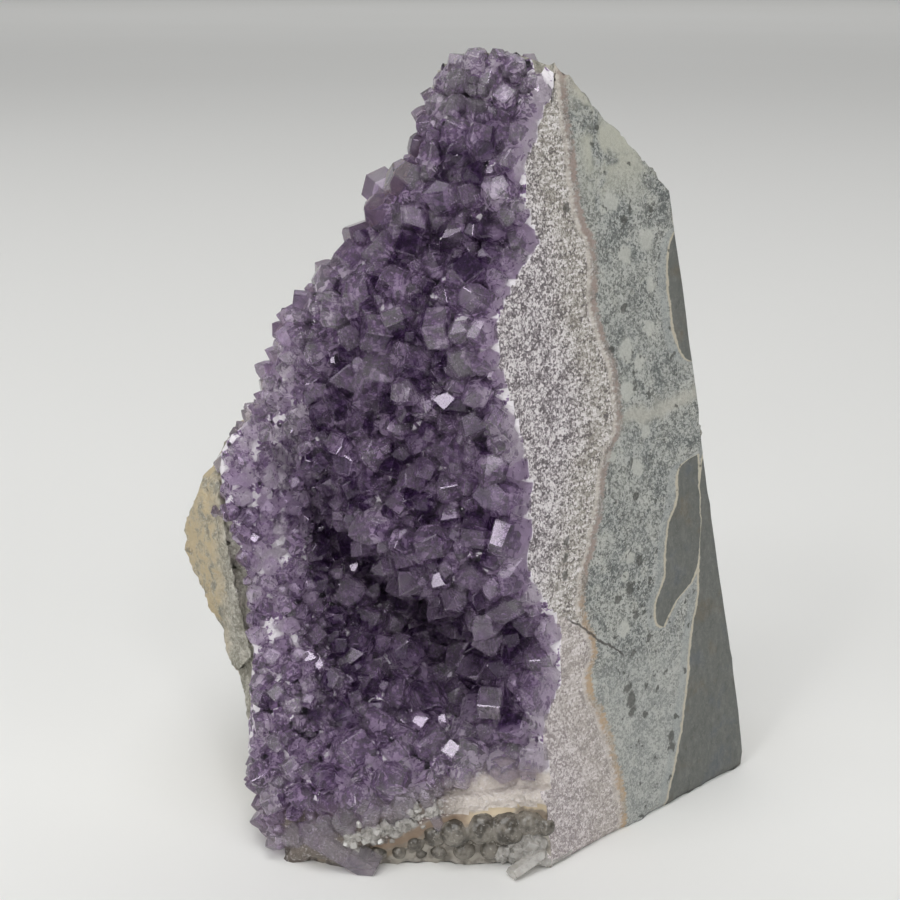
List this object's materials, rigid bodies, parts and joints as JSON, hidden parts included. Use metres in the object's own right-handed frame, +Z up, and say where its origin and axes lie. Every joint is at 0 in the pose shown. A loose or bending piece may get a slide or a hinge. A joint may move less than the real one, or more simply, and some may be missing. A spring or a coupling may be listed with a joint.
{
  "type": "amethyst geode",
  "caption": "Free-standing piece of amethyst geode on a sawn flat base, with a crystal-lined hollow front, a flat sawn side and a ground basalt back.",
  "frame": {"origin": "centre of the bounding box on the floor, on the plane of the sawn base", "axes": "+Z up, -Y towards the crystal-lined front, +X towards the sawn side's far edge"},
  "size_m": [0.1038, 0.0766, 0.1329],
  "materials": {
    "geode_rock": "sawn and ground stone: grey basalt, brown agate line and speckled white quartz",
    "amethyst": "clear purple quartz crystals with flat glossy faces and paler feet"
  },
  "bodies": {
    "root": {"rock_matrix": "geode_rock", "crystal_crust": "amethyst"}
  },
  "joints": []
}
